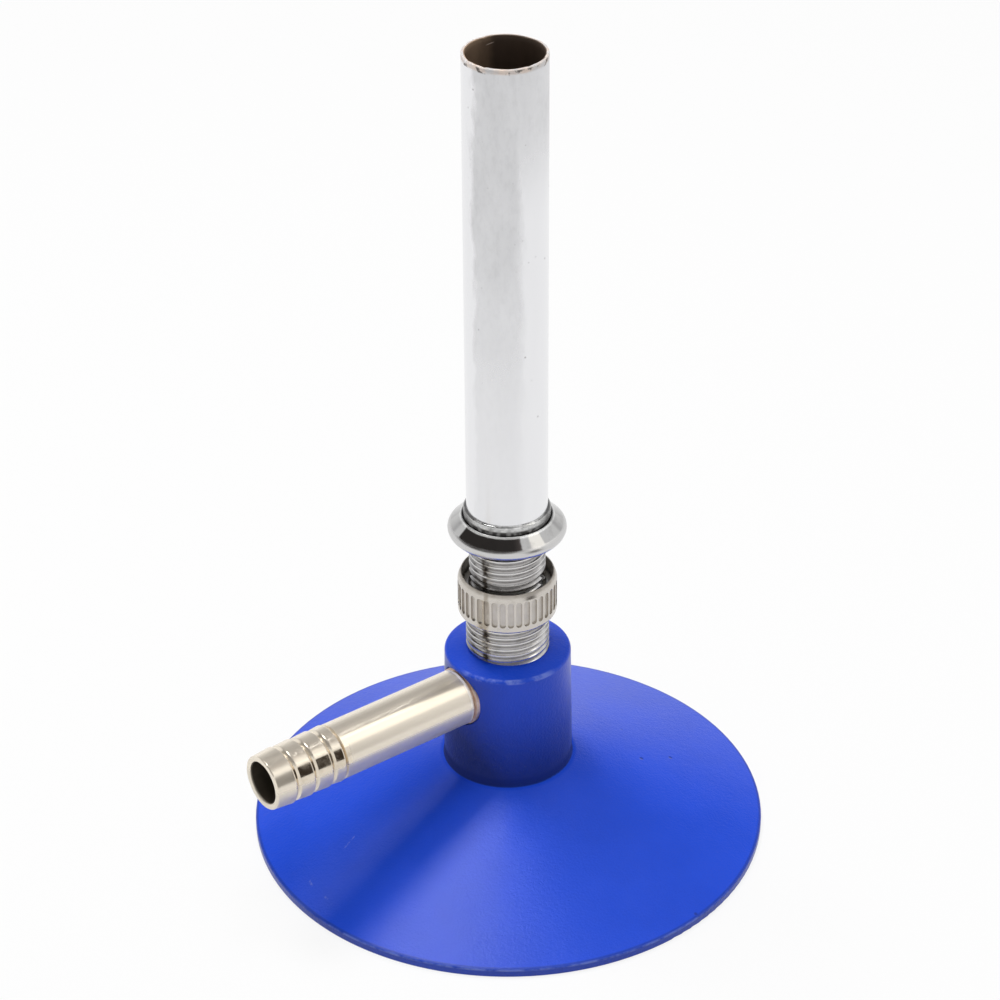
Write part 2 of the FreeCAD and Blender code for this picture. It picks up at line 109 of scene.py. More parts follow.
class Wire:
    """One shader socket that carries a number or a vector; arithmetic on numbers adds Math nodes."""

    def __init__(self, graph: "Graph", socket: bpy.types.NodeSocket | None) -> None:
        """Keep the socket and the graph it belongs to; an output node has no socket to give."""
        self.graph = graph
        self.socket = socket

    def math(self, operation: str, *values: Number) -> "Wire":
        """Add one Math node.

        Args:
            operation: The node's operation.
            values: Its inputs in order, wires or plain numbers.

        Returns:
            The node's result.
        """
        inputs = dict(enumerate(values))
        return self.graph.add("ShaderNodeMath", {"operation": operation}, inputs)

    def __add__(self, other: Number) -> "Wire":
        """Sum."""
        return self.math("ADD", self, other)

    __radd__ = __add__

    def __sub__(self, other: Number) -> "Wire":
        """Difference."""
        return self.math("SUBTRACT", self, other)

    def __rsub__(self, other: Number) -> "Wire":
        """Difference from a plain number."""
        return self.math("SUBTRACT", other, self)

    def __mul__(self, other: Number) -> "Wire":
        """Product."""
        return self.math("MULTIPLY", self, other)

    __rmul__ = __mul__

    def __truediv__(self, other: Number) -> "Wire":
        """Quotient."""
        return self.math("DIVIDE", self, other)

    def __rtruediv__(self, other: Number) -> "Wire":
        """Quotient of a plain number."""
        return self.math("DIVIDE", other, self)

    def size(self) -> "Wire":
        """Value without its sign."""
        return self.math("ABSOLUTE", self)

    def capped(self) -> "Wire":
        """Value, but no more than 1."""
        return self.math("MINIMUM", self, 1.0)

    def raised(self, floor: float) -> "Wire":
        """Mask from 0 to 1 made to run from a floor to 1."""
        return self * (1.0 - floor) + floor

    def most(self, *others: "Wire") -> "Wire":
        """Greatest of this value and others.

        Args:
            others: The other values.

        Returns:
            The greatest value.
        """
        greatest = self
        for other in others:
            greatest = self.math("MAXIMUM", greatest, other)
        return greatest

    def over(self, low: float, high: float) -> "Wire":
        """Smooth step.

        Args:
            low: Value at which the step starts, at 0.
            high: Value at which it ends, at 1. It may lie below low, for a falling step.

        Returns:
            A mask from 0 to 1.
        """
        rising = low < high
        settings = {"interpolation_type": "SMOOTHSTEP"}
        sockets = {
            "Value": self,
            "From Min": min(low, high),
            "From Max": max(low, high),
            "To Min": 0.0 if rising else 1.0,
            "To Max": 1.0 if rising else 0.0,
        }
        return self.graph.add("ShaderNodeMapRange", settings, sockets)

    def around(self, middle: float, outer: float, inner: float) -> "Wire":
        """Band on both sides of a value.

        Args:
            middle: The value in the band's middle.
            outer: Distance from the middle at which the band ends, at 0.
            inner: Distance at which it is full, at 1.

        Returns:
            A mask from 0 to 1.
        """
        return (self - middle).size().over(outer, inner)


class Graph:
    """Node tree of one finish, of the floor or of the world."""

    def __init__(self, tree: bpy.types.NodeTree) -> None:
        """Start from an empty tree."""
        tree.nodes.clear()
        self.tree = tree

    def add(
        self,
        kind: str,
        settings: dict[str, Any] | None = None,
        sockets: dict[Any, Any] | None = None,
        output: int | str = 0,
    ) -> Wire:
        """Add one node.

        Args:
            kind: The node's type.
            settings: Its own settings, set before its sockets.
            sockets: Values or wires of its inputs, by name or number.
            output: The output that is wanted.

        Returns:
            That output.
        """
        node = self.tree.nodes.new(kind)
        for name, value in (settings or {}).items():
            setattr(node, name, value)
        for key, value in (sockets or {}).items():
            if isinstance(value, Wire):
                self.tree.links.new(value.socket, node.inputs[key])
            else:
                node.inputs[key].default_value = value
        return Wire(self, node.outputs[output] if node.outputs else None)

    def place(self) -> Wire:
        """Place on the piece, in millimetres of the part's frame."""
        metres = self.add("ShaderNodeTexCoord", output="Object")
        return self.scaled(metres, (1 / MM, 1 / MM, 1 / MM))

    def scaled(self, vector: Wire, factors: Triple) -> Wire:
        """Vector stretched along each axis.

        Args:
            vector: The vector.
            factors: One factor for each axis.

        Returns:
            The stretched vector.
        """
        return self.add("ShaderNodeVectorMath", {"operation": "MULTIPLY"}, {0: vector, 1: factors})

    def along(self, vector: Wire, direction: Vector) -> Wire:
        """Length of a vector along a fixed direction.

        Args:
            vector: The vector.
            direction: The direction, of length 1.

        Returns:
            The dot product.
        """
        sockets = {0: vector, 1: tuple(direction)}
        return self.add("ShaderNodeVectorMath", {"operation": "DOT_PRODUCT"}, sockets, "Value")

    def from_line(self, vector: Wire, axis: Vector, through: Vector) -> Wire:
        """Distance from a straight line.

        Args:
            vector: The place.
            axis: The line's direction, of length 1.
            through: A point on the line.

        Returns:
            The distance.
        """
        offset = self.add(
            "ShaderNodeVectorMath", {"operation": "SUBTRACT"}, {0: vector, 1: tuple(through)}
        )
        side = self.add(
            "ShaderNodeVectorMath", {"operation": "CROSS_PRODUCT"}, {0: offset, 1: tuple(axis)}
        )
        return self.add("ShaderNodeVectorMath", {"operation": "LENGTH"}, {0: side}, "Value")

    def noise(self, vector: Wire, grain: Grain) -> Wire:
        """Cloudy noise from 0 to 1.

        Args:
            vector: Where it is read.
            grain: Its scale and detail.

        Returns:
            The noise.
        """
        sockets = {
            "Vector": vector,
            "Scale": grain.scale,
            "Detail": grain.detail,
            "Roughness": grain.rough,
        }
        return self.add("ShaderNodeTexNoise", {"noise_dimensions": "3D"}, sockets)

    def spots(self, vector: Wire, spots: Spots) -> Wire:
        """Mask of scattered spots.

        Args:
            vector: Where it is read.
            spots: Their scale, size and patches.

        Returns:
            The mask, from 0 to 1.
        """
        settings = {"feature": "F1", "voronoi_dimensions": "3D"}
        sockets = {"Vector": vector, "Scale": spots.scale}
        distance = self.add("ShaderNodeTexVoronoi", settings, sockets)
        patches = self.noise(vector, spots.patch).over(*spots.patch_at)
        return distance.over(*spots.edge) * patches

    def blend(self, share: Number, first: Colour | Wire, second: Colour | Wire) -> Wire:
        """Mix of two colours.

        Args:
            share: How much of the second colour.
            first: The first colour.
            second: The second colour.

        Returns:
            The mix.
        """
        sockets: dict[int, Any] = {ColourMix.SHARE: share}
        for socket, colour in ((ColourMix.FIRST, first), (ColourMix.SECOND, second)):
            sockets[socket] = colour if isinstance(colour, Wire) else (*colour, 1.0)
        return self.add("ShaderNodeMix", {"data_type": "RGBA"}, sockets, ColourMix.RESULT)

    def bump(self, height: Wire, depth: float) -> Wire:
        """Normal of a surface with fine relief.

        Args:
            height: The relief, from 0 to 1.
            depth: How deep it is, in metres.

        Returns:
            The normal.
        """
        return self.add("ShaderNodeBump", {}, {"Height": height, "Strength": 1.0, "Distance": depth})

    def surface(self, sockets: dict[str, Any]) -> None:
        """Close the graph with one glossy or metal surface."""
        shader = self.add("ShaderNodeBsdfPrincipled", {}, sockets)
        self.add("ShaderNodeOutputMaterial", {}, {"Surface": shader})


@dataclass(frozen=True)
class Finish:
    """A finish that pieces are dressed in."""

    name: str
    slot: Slot

    def lay(self, graph: Graph) -> None:
        """Draw the finish's nodes; each kind of finish has its own."""
        raise NotImplementedError

    def dress(self, piece: bpy.types.Object) -> bpy.types.Object:
        """Give a piece this finish.

        Args:
            piece: The object to dress.

        Returns:
            The same object.
        """
        material = bpy.data.materials.new(self.name)
        material.use_nodes = True
        self.lay(Graph(material.node_tree))
        piece.data.materials.clear()
        piece.data.materials.append(material)
        return piece


@dataclass(frozen=True)
class Scratch:
    """A straight scratch, seen from above, in millimetres."""

    start: Span
    end: Span
    width: float
    strength: float
    core: float = 0.3
    fade: float = 0.4

    def mask(self, graph: Graph, flat: Wire) -> Wire:
        """Mask of the scratch.

        Args:
            graph: The finish's graph.
            flat: The place on the piece, seen from above.

        Returns:
            The mask, from 0 to the scratch's strength.
        """
        start = Vector((*self.start, 0.0))
        run = Vector((*self.end, 0.0)) - start
        heading = run.normalized()
        across = graph.from_line(flat, heading, start)
        along = graph.along(flat, heading) - start.dot(heading)
        line = across.over(self.width, self.width * self.core)
        ends = along.over(0.0, self.fade) * along.over(run.length, run.length - self.fade)
        return line * ends * self.strength


@dataclass(frozen=True)
class HighlightLine:
    """A painted highlight line on a round edge: its circle, its soft sides and how far round it goes."""

    radius: float
    height: float
    across: Span
    tall: Span
    front: Span
    share: float

    def mask(self, radius: Wire, height: Wire, front: Wire) -> Wire:
        """Mask of the line.

        Args:
            radius: Distance from the piece's axis.
            height: Height of the place.
            front: How far towards the front the place lies.

        Returns:
            The mask, from 0 to the line's share.
        """
        line = radius.around(self.radius, *self.across) * height.around(self.height, *self.tall)
        return line * front.over(*self.front) * self.share


@dataclass(frozen=True)
class GlossPaint(Finish):
    """Sprayed gloss paint on a casting: soft mottle, orange peel, pits and a few scratches, with painted
    shade down the boss and round the rim and painted highlight lines along rounded corners.
    """

    boss_radius: float
    boss_foot: float
    boss_edge: float
    rim_radius: float
    colour: Colour = (0.004, 0.063, 0.66)
    thin_colour: Colour = (0.008, 0.071, 0.71)
    scratch_colour: Colour = (0.16, 0.22, 0.72)
    pit_colour: Colour = (0.003, 0.03, 0.33)
    # painted shade: darker blue down the boss, most on its left, and round the rim
    painted_shade_colour: Colour = (0.001, 0.016, 0.16)
    # painted highlight colour of the lines along rounded corners
    highlight_colour: Colour = (0.30, 0.40, 0.86)
    boss_skin: Span = (0.2, 0.02)
    shade_start: float = 1.0
    shade_full: float = 4.0
    left_start: float = 2.0
    left_drop: float = 2.0
    left_share: float = 0.55
    rim_skin: Span = (-0.6, -0.3)
    rim_share: float = 0.45
    corner_out: Span = (1.0, 0.3)
    corner_up: Span = (2.5, 1.0)
    corner_dulls: float = 0.5
    gloss: float = 0.24
    dull: float = 0.32
    specular: float = 0.38
    mottle: Grain = Grain(0.07, 3.0)
    thin_at: Span = (0.35, 0.7)
    peel: Grain = Grain(0.9)
    peel_weight: float = 0.6
    peel_depth: float = 0.06 * MM
    grain: Grain = Grain(2.6, 3.0, 0.6)
    grain_weight: float = 1.2
    grain_dulls: float = 0.06
    pits: Spots = Spots(0.16, (0.075, 0.03), Grain(0.05), (0.5, 0.6))
    pit_weight: float = 1.2
    highlight_lines: tuple[HighlightLine, ...] = ()
    highlight_share: float = 0.62
    broken: Grain = Grain(0.35, 4.0, 0.6)
    broken_at: Span = (0.36, 0.62)
    scratches: tuple[Scratch, ...] = ()
    scratch_dulls: float = 0.2
    ragged: Grain = Grain(2.2)
    ragged_at: Span = (0.35, 0.6)

    def scratch_mask(self, graph: Graph, place: Wire) -> Wire:
        """Mask of all the scratches.

        Args:
            graph: The finish's graph.
            place: The place on the piece.

        Returns:
            The mask, from 0 to 1.
        """
        flat = graph.scaled(place, (1.0, 1.0, 0.0))
        ragged = graph.noise(place, self.ragged).over(*self.ragged_at)
        return sum(scratch.mask(graph, flat) for scratch in self.scratches) * ragged

    def painted_shade_mask(self, radius: Wire, height: Wire, right: Wire) -> Wire:
        """Mask of painted shade: down the boss, most on its left, and round the rim.

        Args:
            radius: Distance from the casting's axis.
            height: Height of the place.
            right: How far right of the axis the place lies, seen from the front.

        Returns:
            The mask, from 0 to 1.
        """
        boss = (radius - self.boss_radius).over(*self.boss_skin)
        down = height.over(self.boss_edge - self.shade_start, self.boss_foot - self.shade_full)
        left = right.over(self.left_start, -self.boss_radius)
        left_side = left * height.over(self.boss_edge, self.boss_edge - self.left_drop)
        rim = (radius - self.rim_radius).over(*self.rim_skin)
        return (boss * (down + left_side * self.left_share) + rim * self.rim_share).capped()

    def lay(self, graph: Graph) -> None:
        """Draw the paint's nodes.

        Args:
            graph: The finish's graph, empty at first.
        """
        place = graph.place()
        radius = graph.from_line(place, UPRIGHT, CENTRE)
        height = graph.along(place, UPRIGHT)
        right = graph.along(place, TO_RIGHT)
        front = graph.along(place, TO_FRONT)
        mottle = graph.noise(place, self.mottle)
        peel = graph.noise(place, self.peel)
        grain = graph.noise(place, self.grain)
        pits = graph.spots(place, self.pits)
        scratches = self.scratch_mask(graph, place)
        broken = graph.noise(place, self.broken).over(*self.broken_at)
        # painted highlight lines on the boss's top edge and the rim, towards the front
        painted_light = sum(edge.mask(radius, height, front) for edge in self.highlight_lines) * broken
        tone = graph.blend(mottle.over(*self.thin_at), self.colour, self.thin_colour)
        # painted shade down the boss, most on its left, and round the rim
        tone = graph.blend(self.painted_shade_mask(radius, height, right), tone, self.painted_shade_colour)
        tone = graph.blend(painted_light * self.highlight_share, tone, self.highlight_colour)
        tone = graph.blend(pits, tone, self.pit_colour)
        tone = graph.blend(scratches, tone, self.scratch_colour)
        corner_wall = (radius - self.boss_radius).over(*self.corner_out)
        corner = corner_wall * (height - self.boss_foot).over(*self.corner_up)
        gloss = self.gloss + mottle * (self.dull - self.gloss) + grain * self.grain_dulls
        relief = peel * self.peel_weight + grain * self.grain_weight - pits * self.pit_weight
        graph.surface(
            {
                "Base Color": tone,
                "Roughness": gloss + scratches * self.scratch_dulls + corner * self.corner_dulls,
                "Normal": graph.bump(relief, self.peel_depth),
                "Specular IOR Level": self.specular,
            }
        )


@dataclass(frozen=True)
class Valley:
    """Where the colour is darkened: within a radius, as between a thread's crests, and below a top if
    any.
    """

    radius: float
    top: float | None = None
    top_fade: float = 0.25
    above: float = 0.0
    fade: float = 0.25

    def mask(self, radius: Wire, height: Wire) -> Wire:
        """Mask of the darkening.

        Args:
            radius: Distance from the piece's axis.
            height: Height of the place.

        Returns:
            The mask, from 0 to 1.
        """
        within = radius.over(self.radius, self.radius - self.fade)
        if self.top is None:
            return within
        return within * height.over(self.top, self.top - self.top_fade).raised(self.above)


@dataclass(frozen=True)
class DarkReflection:
    """A painted dark reflection, a broken stripe down the front: how far right of the axis it lies, and
    its half width.
    """

    at: float
    half: float
    outer: float = 1.8
    inner: float = 0.5
    front: Span = (0.0, 1.0)
    broken: Grain = Grain(0.9, 3.0)
    broken_at: Span = (0.3, 0.6)

    def mask(self, graph: Graph, place: Wire) -> Wire:
        """Mask of the painted dark reflection.

        Args:
            graph: The finish's graph.
            place: The place on the piece.

        Returns:
            The mask, from 0 to 1.
        """
        right = graph.along(place, TO_RIGHT)
        line = right.around(self.at, self.half * self.outer, self.half * self.inner)
        front = graph.along(place, TO_FRONT).over(*self.front)
        return line * front * graph.noise(place, self.broken).over(*self.broken_at)


@dataclass(frozen=True)
class ShelfHighlight:
    """A painted highlight on a shelf's edge all round, brighter on the front, and on the front of the
    neck above it.
    """

    radius: float
    above: float
    half: float = 0.3
    inner: float = 0.4
    rise: float = 0.2
    behind: float = 0.35
    front: Span = (2.5, 6.0)
    neck_in: float = 0.2
    neck_up: Span = (1.0, 1.4)
    neck_share: float = 0.9
    broken: Grain = Grain(0.9)
    broken_at: Span = (0.2, 0.65)

    def mask(self, graph: Graph, place: Wire, radius: Wire, height: Wire) -> Wire:
        """Mask of the painted highlights.

        Args:
            graph: The finish's graph.
            place: The place on the piece.
            radius: Distance from the piece's axis.
            height: Height of the place.

        Returns:
            The mask, from 0 to 1.
        """
        up = height - self.above
        front = graph.along(place, TO_FRONT).over(*self.front)
        band = radius.around(self.radius, self.half, self.half * self.inner)
        rim = band * up.over(0.0, self.rise) * front.raised(self.behind)
        neck = radius.over(self.radius, self.radius - self.neck_in) * up.over(*self.neck_up)
        broken = graph.noise(place, self.broken).over(*self.broken_at)
        return rim.most(neck * front * broken * self.neck_share)


@dataclass(frozen=True)
class Plate(Finish):
    """Bright plated metal with faint turning lines, blemishes and specks, darker in its thread valleys,
    and optional painted shade, painted highlights and a painted dark reflection.
    """

    colour: Colour = (0.52, 0.515, 0.51)
    dull_colour: Colour = (0.42, 0.41, 0.40)
    # colour of specks, of the darkened valleys with painted shade, and of the painted dark reflection
    dirt_and_shade_colour: Colour = (0.10, 0.085, 0.07)
    # painted highlight colour of the shelf's rim and the neck's front
    highlight_colour: Colour = (0.95, 0.95, 0.94)
    # satin colour, lighter: on the collar a painted highlight on its rounded lower rim, on the nozzle a
    # painted sheen
    satin_and_sheen_colour: Colour = (0.62, 0.615, 0.61)
    gloss: float = 0.07
    dull: float = 0.2
    lines: Grain = Grain(1.6)
    line_stretch: Triple = (0.15, 0.15, 4.0)
    line_depth: float = 0.0012 * MM
    blemish: Grain = Grain(0.45, 4.0, 0.6)
    blemish_at: Span = (0.5, 0.78)
    blemish_share: float = 0.6
    specks: Spots = Spots(0.7, (0.09, 0.04), Grain(0.3), (0.5, 0.65))
    speck_share: float = 0.7
    valleys: tuple[Valley, ...] = ()
    dirt_and_shade: Grain = Grain(0.8)
    dirt_and_shade_at: Span = (0.3, 0.7)
    dirt_and_shade_share: float = 0.35
    dirt_and_shade_dulls: float = 0.25
    dirt_and_shade_hides: float = 0.3
    # painted dark reflection: a broken dark stripe down the front
    dark_reflection: DarkReflection | None = None
    satin_radius: float | None = None
    satin_fade: float = 0.2
    satin_dulls: float = 0.25
    # painted highlight on a shelf's rim and the neck's front
    edge: ShelfHighlight | None = None
    highlight_hides: float = 0.6

    def lay(self, graph: Graph) -> None:
        """Draw the plate's nodes; the optional marks lie over the bare metal in order.

        Args:
            graph: The finish's graph, empty at first.
        """
        place = graph.place()
        radius = graph.from_line(place, UPRIGHT, CENTRE)
        height = graph.along(place, UPRIGHT)
        lines = graph.noise(graph.scaled(place, self.line_stretch), self.lines)
        blemish = graph.noise(place, self.blemish).over(*self.blemish_at)
        specks = graph.spots(place, self.specks)
        tone = graph.blend(blemish * self.blemish_share, self.colour, self.dull_colour)
        tone = graph.blend(specks * self.speck_share, tone, self.dirt_and_shade_colour)
        worn = self.gloss + blemish * (self.dull - self.gloss)
        metal: Number = 1.0
        # darker within the valleys of threads and flutes; on the collar's neck this is painted shade
        if self.valleys:
            first, *rest = [valley.mask(radius, height) for valley in self.valleys]
            dirt_and_shade = first.most(*rest)
            patchy = graph.noise(place, self.dirt_and_shade).over(*self.dirt_and_shade_at)
            tone = graph.blend(dirt_and_shade * (patchy + 1.0) * self.dirt_and_shade_share, tone, self.dirt_and_shade_colour)
            worn = worn + dirt_and_shade * self.dirt_and_shade_dulls
            metal = metal - dirt_and_shade * self.dirt_and_shade_hides
        # painted dark reflection: a broken dark stripe down the front
        if self.dark_reflection:
            tone = graph.blend(self.dark_reflection.mask(graph, place), tone, self.dirt_and_shade_colour)
        # satin outer band, lighter: a painted highlight on the rounded lower rim
        if self.satin_radius:
            satin = radius.over(self.satin_radius - self.satin_fade, self.satin_radius)
            tone = graph.blend(satin, tone, self.satin_and_sheen_colour)
            worn = worn + satin * self.satin_dulls
        # painted highlight on the shelf's rim and the neck's front
        if self.edge:
            edge = self.edge.mask(graph, place, radius, height)
            tone = graph.blend(edge, tone, self.highlight_colour)
            metal = metal - edge * self.highlight_hides
        graph.surface(
            {
                "Base Color": tone,
                "Metallic": metal,
                "Roughness": worn,
                "Normal": graph.bump(lines, self.line_depth),
            }
        )


@dataclass(frozen=True)
class BarrelNickel(Finish):
    """Nickel on a drawn tube: handled and smudged outside under a painted grey reflection band down its
    front, a bare coppery lip, dark inside with scorch tint and a painted lit left wall.
    """

    radius: float
    bore: float
    top: float
    foot: float
    colour: Colour = (0.84, 0.84, 0.855)
    # grey of the painted reflection band, smudgy in texture
    smudge_and_reflection_colour: Colour = (0.60, 0.60, 0.61)
    lip_colour: Colour = (0.82, 0.70, 0.62)
    nick_colour: Colour = (0.14, 0.12, 0.11)
    # scorch tint, and the painted light on the bore's left wall
    scorch_and_light_colour: Colour = (0.50, 0.35, 0.24)
    # dark colour inside the bore
    bore_dark_colour: Colour = (0.075, 0.053, 0.04)
    gloss: float = 0.2
    dull: float = 0.36
    streaks: Grain = Grain(0.8, 3.0)
    streak_stretch: Triple = (1.0, 1.0, 0.12)
    streak_share: float = 0.1
    streak_weight: float = 0.3
    clouds: Grain = Grain(0.28, 4.0, 0.6)
    cloud_stretch: Triple = (1.0, 1.0, 0.45)
    cloud_weight: float = 0.7
    stipple: Grain = Grain(1.3, 5.0, 0.7)
    stipple_stretch: Triple = (1.0, 1.0, 0.5)
    stipple_at: Span = (0.42, 0.7)
    specks: Spots = Spots(0.45, (0.1, 0.04), Grain(0.25), (0.48, 0.62))
    speck_share: float = 0.5
    speck_weight: float = 0.4
    relief_depth: float = 0.006 * MM
    wander: float = 0.5
    band_left: Span = (-0.82, -0.68)
    band_right: Span = (0.5, 0.2)
    cap_at: Span = (-26.0, -6.0)
    cap_share: float = 0.85
    band_foot: float = 8.0
    band_full_below: float = 14.0
    foot_share: float = 0.25
    smudge_base: float = 0.5
    smudge_clouds: float = 0.75
    smudge_stipple: float = 0.22
    band_share: float = 0.75
    lip_at: Span = (-0.95, -0.55)
    lip_wear: Grain = Grain(0.7, 3.0)
    lip_wear_at: Span = (0.2, 0.75)
    lip_hides: float = 0.6
    nick_low: Span = (-1.0, -0.75)
    nick_high: Span = (0.0, -0.3)
    nicks: Grain = Grain(0.8, 3.0)
    nicks_at: Span = (0.54, 0.64)
    inside_at: Span = (0.2, 0.1)
    inside_hides: float = 0.4
    inside_dulls: float = 0.25
    lit_side_wander: float = 0.6
    lit_side_at: Span = (-0.25, -0.75)
    lit_side_share: float = 0.8
    scorch_clouds: float = 0.15
    scratch_at: float = -2.2
    scratch_drop: float = 1.2
    scratch_slope: float = 0.25
    scratch_tall: Span = (0.12, 0.03)
    scratch_wide: Span = (0.75, 0.2)
    far_wall: Span = (0.0, -1.0)

    def inner_scratch(self, graph: Graph, place: Wire, above_lip: Wire) -> Wire:
        """Mask of a light scratch on the far wall, just below the mouth.

        Args:
            graph: The finish's graph.
            place: The place on the piece.
            above_lip: Its height above the lip, negative below.

        Returns:
            The mask, from 0 to 1.
        """
        aside = graph.along(place, TO_RIGHT) - self.scratch_at
        level = above_lip + self.scratch_drop - aside * self.scratch_slope
        far = graph.along(place, TO_FRONT).over(*self.far_wall)
        return level.size().over(*self.scratch_tall) * aside.size().over(*self.scratch_wide) * far

    def smudge_and_reflection_mask(self, graph: Graph, place: Wire, above_lip: Wire, wander: Wire, clouds: Wire) -> Wire:
        """Mask of the painted grey reflection down the tube's front, smudgy in texture, which widens
        below the lip.

        Args:
            graph: The finish's graph.
            place: The place on the piece.
            above_lip: Its height above the lip, negative below.
            wander: Its place across the tube, from -1 to 1, made uneven.
            clouds: Cloudy noise on the tube.

        Returns:
            The mask, about 0 to 1.
        """
        left = wander.over(*self.band_left)
        band = left * wander.over(*self.band_right)
        cap = left * above_lip.over(*self.cap_at)
        stippled = graph.noise(graph.scaled(place, self.stipple_stretch), self.stipple)
        stipple = stippled.over(*self.stipple_at) * self.smudge_stipple
        depth = self.smudge_base + clouds * self.smudge_clouds + stipple
        tall = self.top - self.foot
        upper = above_lip.over(self.band_foot - tall, -self.band_full_below).raised(self.foot_share)
        return band.most(cap * self.cap_share) * depth * upper

    def lay(self, graph: Graph) -> None:
        """Draw the tube's nodes.

        Args:
            graph: The finish's graph, empty at first.
        """
        place = graph.place()
        above_lip = graph.along(place, UPRIGHT) - self.top
        radius = graph.from_line(place, UPRIGHT, CENTRE)
        across = graph.along(place, TO_RIGHT) / self.radius
        streaks = graph.noise(graph.scaled(place, self.streak_stretch), self.streaks)
        clouds = graph.noise(graph.scaled(place, self.cloud_stretch), self.clouds)
        uneven = clouds - NOISE_MIDDLE
        specks = graph.spots(place, self.specks)
        # painted reflection: a grey band down the tube's front with smudgy texture, mixed below with fine
        # lengthwise lines
        smudge_and_reflection = self.smudge_and_reflection_mask(graph, place, above_lip, across + uneven * self.wander, clouds)
        drawn = smudge_and_reflection * self.band_share + streaks * self.streak_share
        tone = graph.blend(drawn, self.colour, self.smudge_and_reflection_colour)
        tone = graph.blend(specks * self.speck_share, tone, self.nick_colour)
        lip = above_lip.over(*self.lip_at)
        lip_wear = graph.noise(place, self.lip_wear).over(*self.lip_wear_at)
        tone = graph.blend(lip * lip_wear, tone, self.lip_colour)
        under_lip = above_lip.over(*self.nick_low) * above_lip.over(*self.nick_high)
        nicks = under_lip * graph.noise(place, self.nicks).over(*self.nicks_at)
        outside = graph.blend(nicks, tone, self.nick_colour)
        inside = (radius - self.bore).over(*self.inside_at)
        # painted light: the bore's left wall lighter brown where light falls, with scorch clouds; the
        # rest is dark
        painted_light = (across + uneven * self.lit_side_wander).over(*self.lit_side_at)
        scorch_and_light = painted_light * self.lit_side_share + clouds * self.scorch_clouds
        bore = graph.blend(scorch_and_light, self.bore_dark_colour, self.scorch_and_light_colour)
        bore = graph.blend(self.inner_scratch(graph, place, above_lip), bore, self.lip_colour)
        worn = self.gloss + smudge_and_reflection * (self.dull - self.gloss)
        relief = streaks * self.streak_weight + clouds * self.cloud_weight - specks * self.speck_weight
        graph.surface(
            {
                "Base Color": graph.blend(inside, outside, bore),
                "Metallic": 1.0 - inside * self.inside_hides - lip * self.lip_hides,
                "Roughness": worn + (inside + lip) * self.inside_dulls,
                "Normal": graph.bump(relief, self.relief_depth),
            }
        )


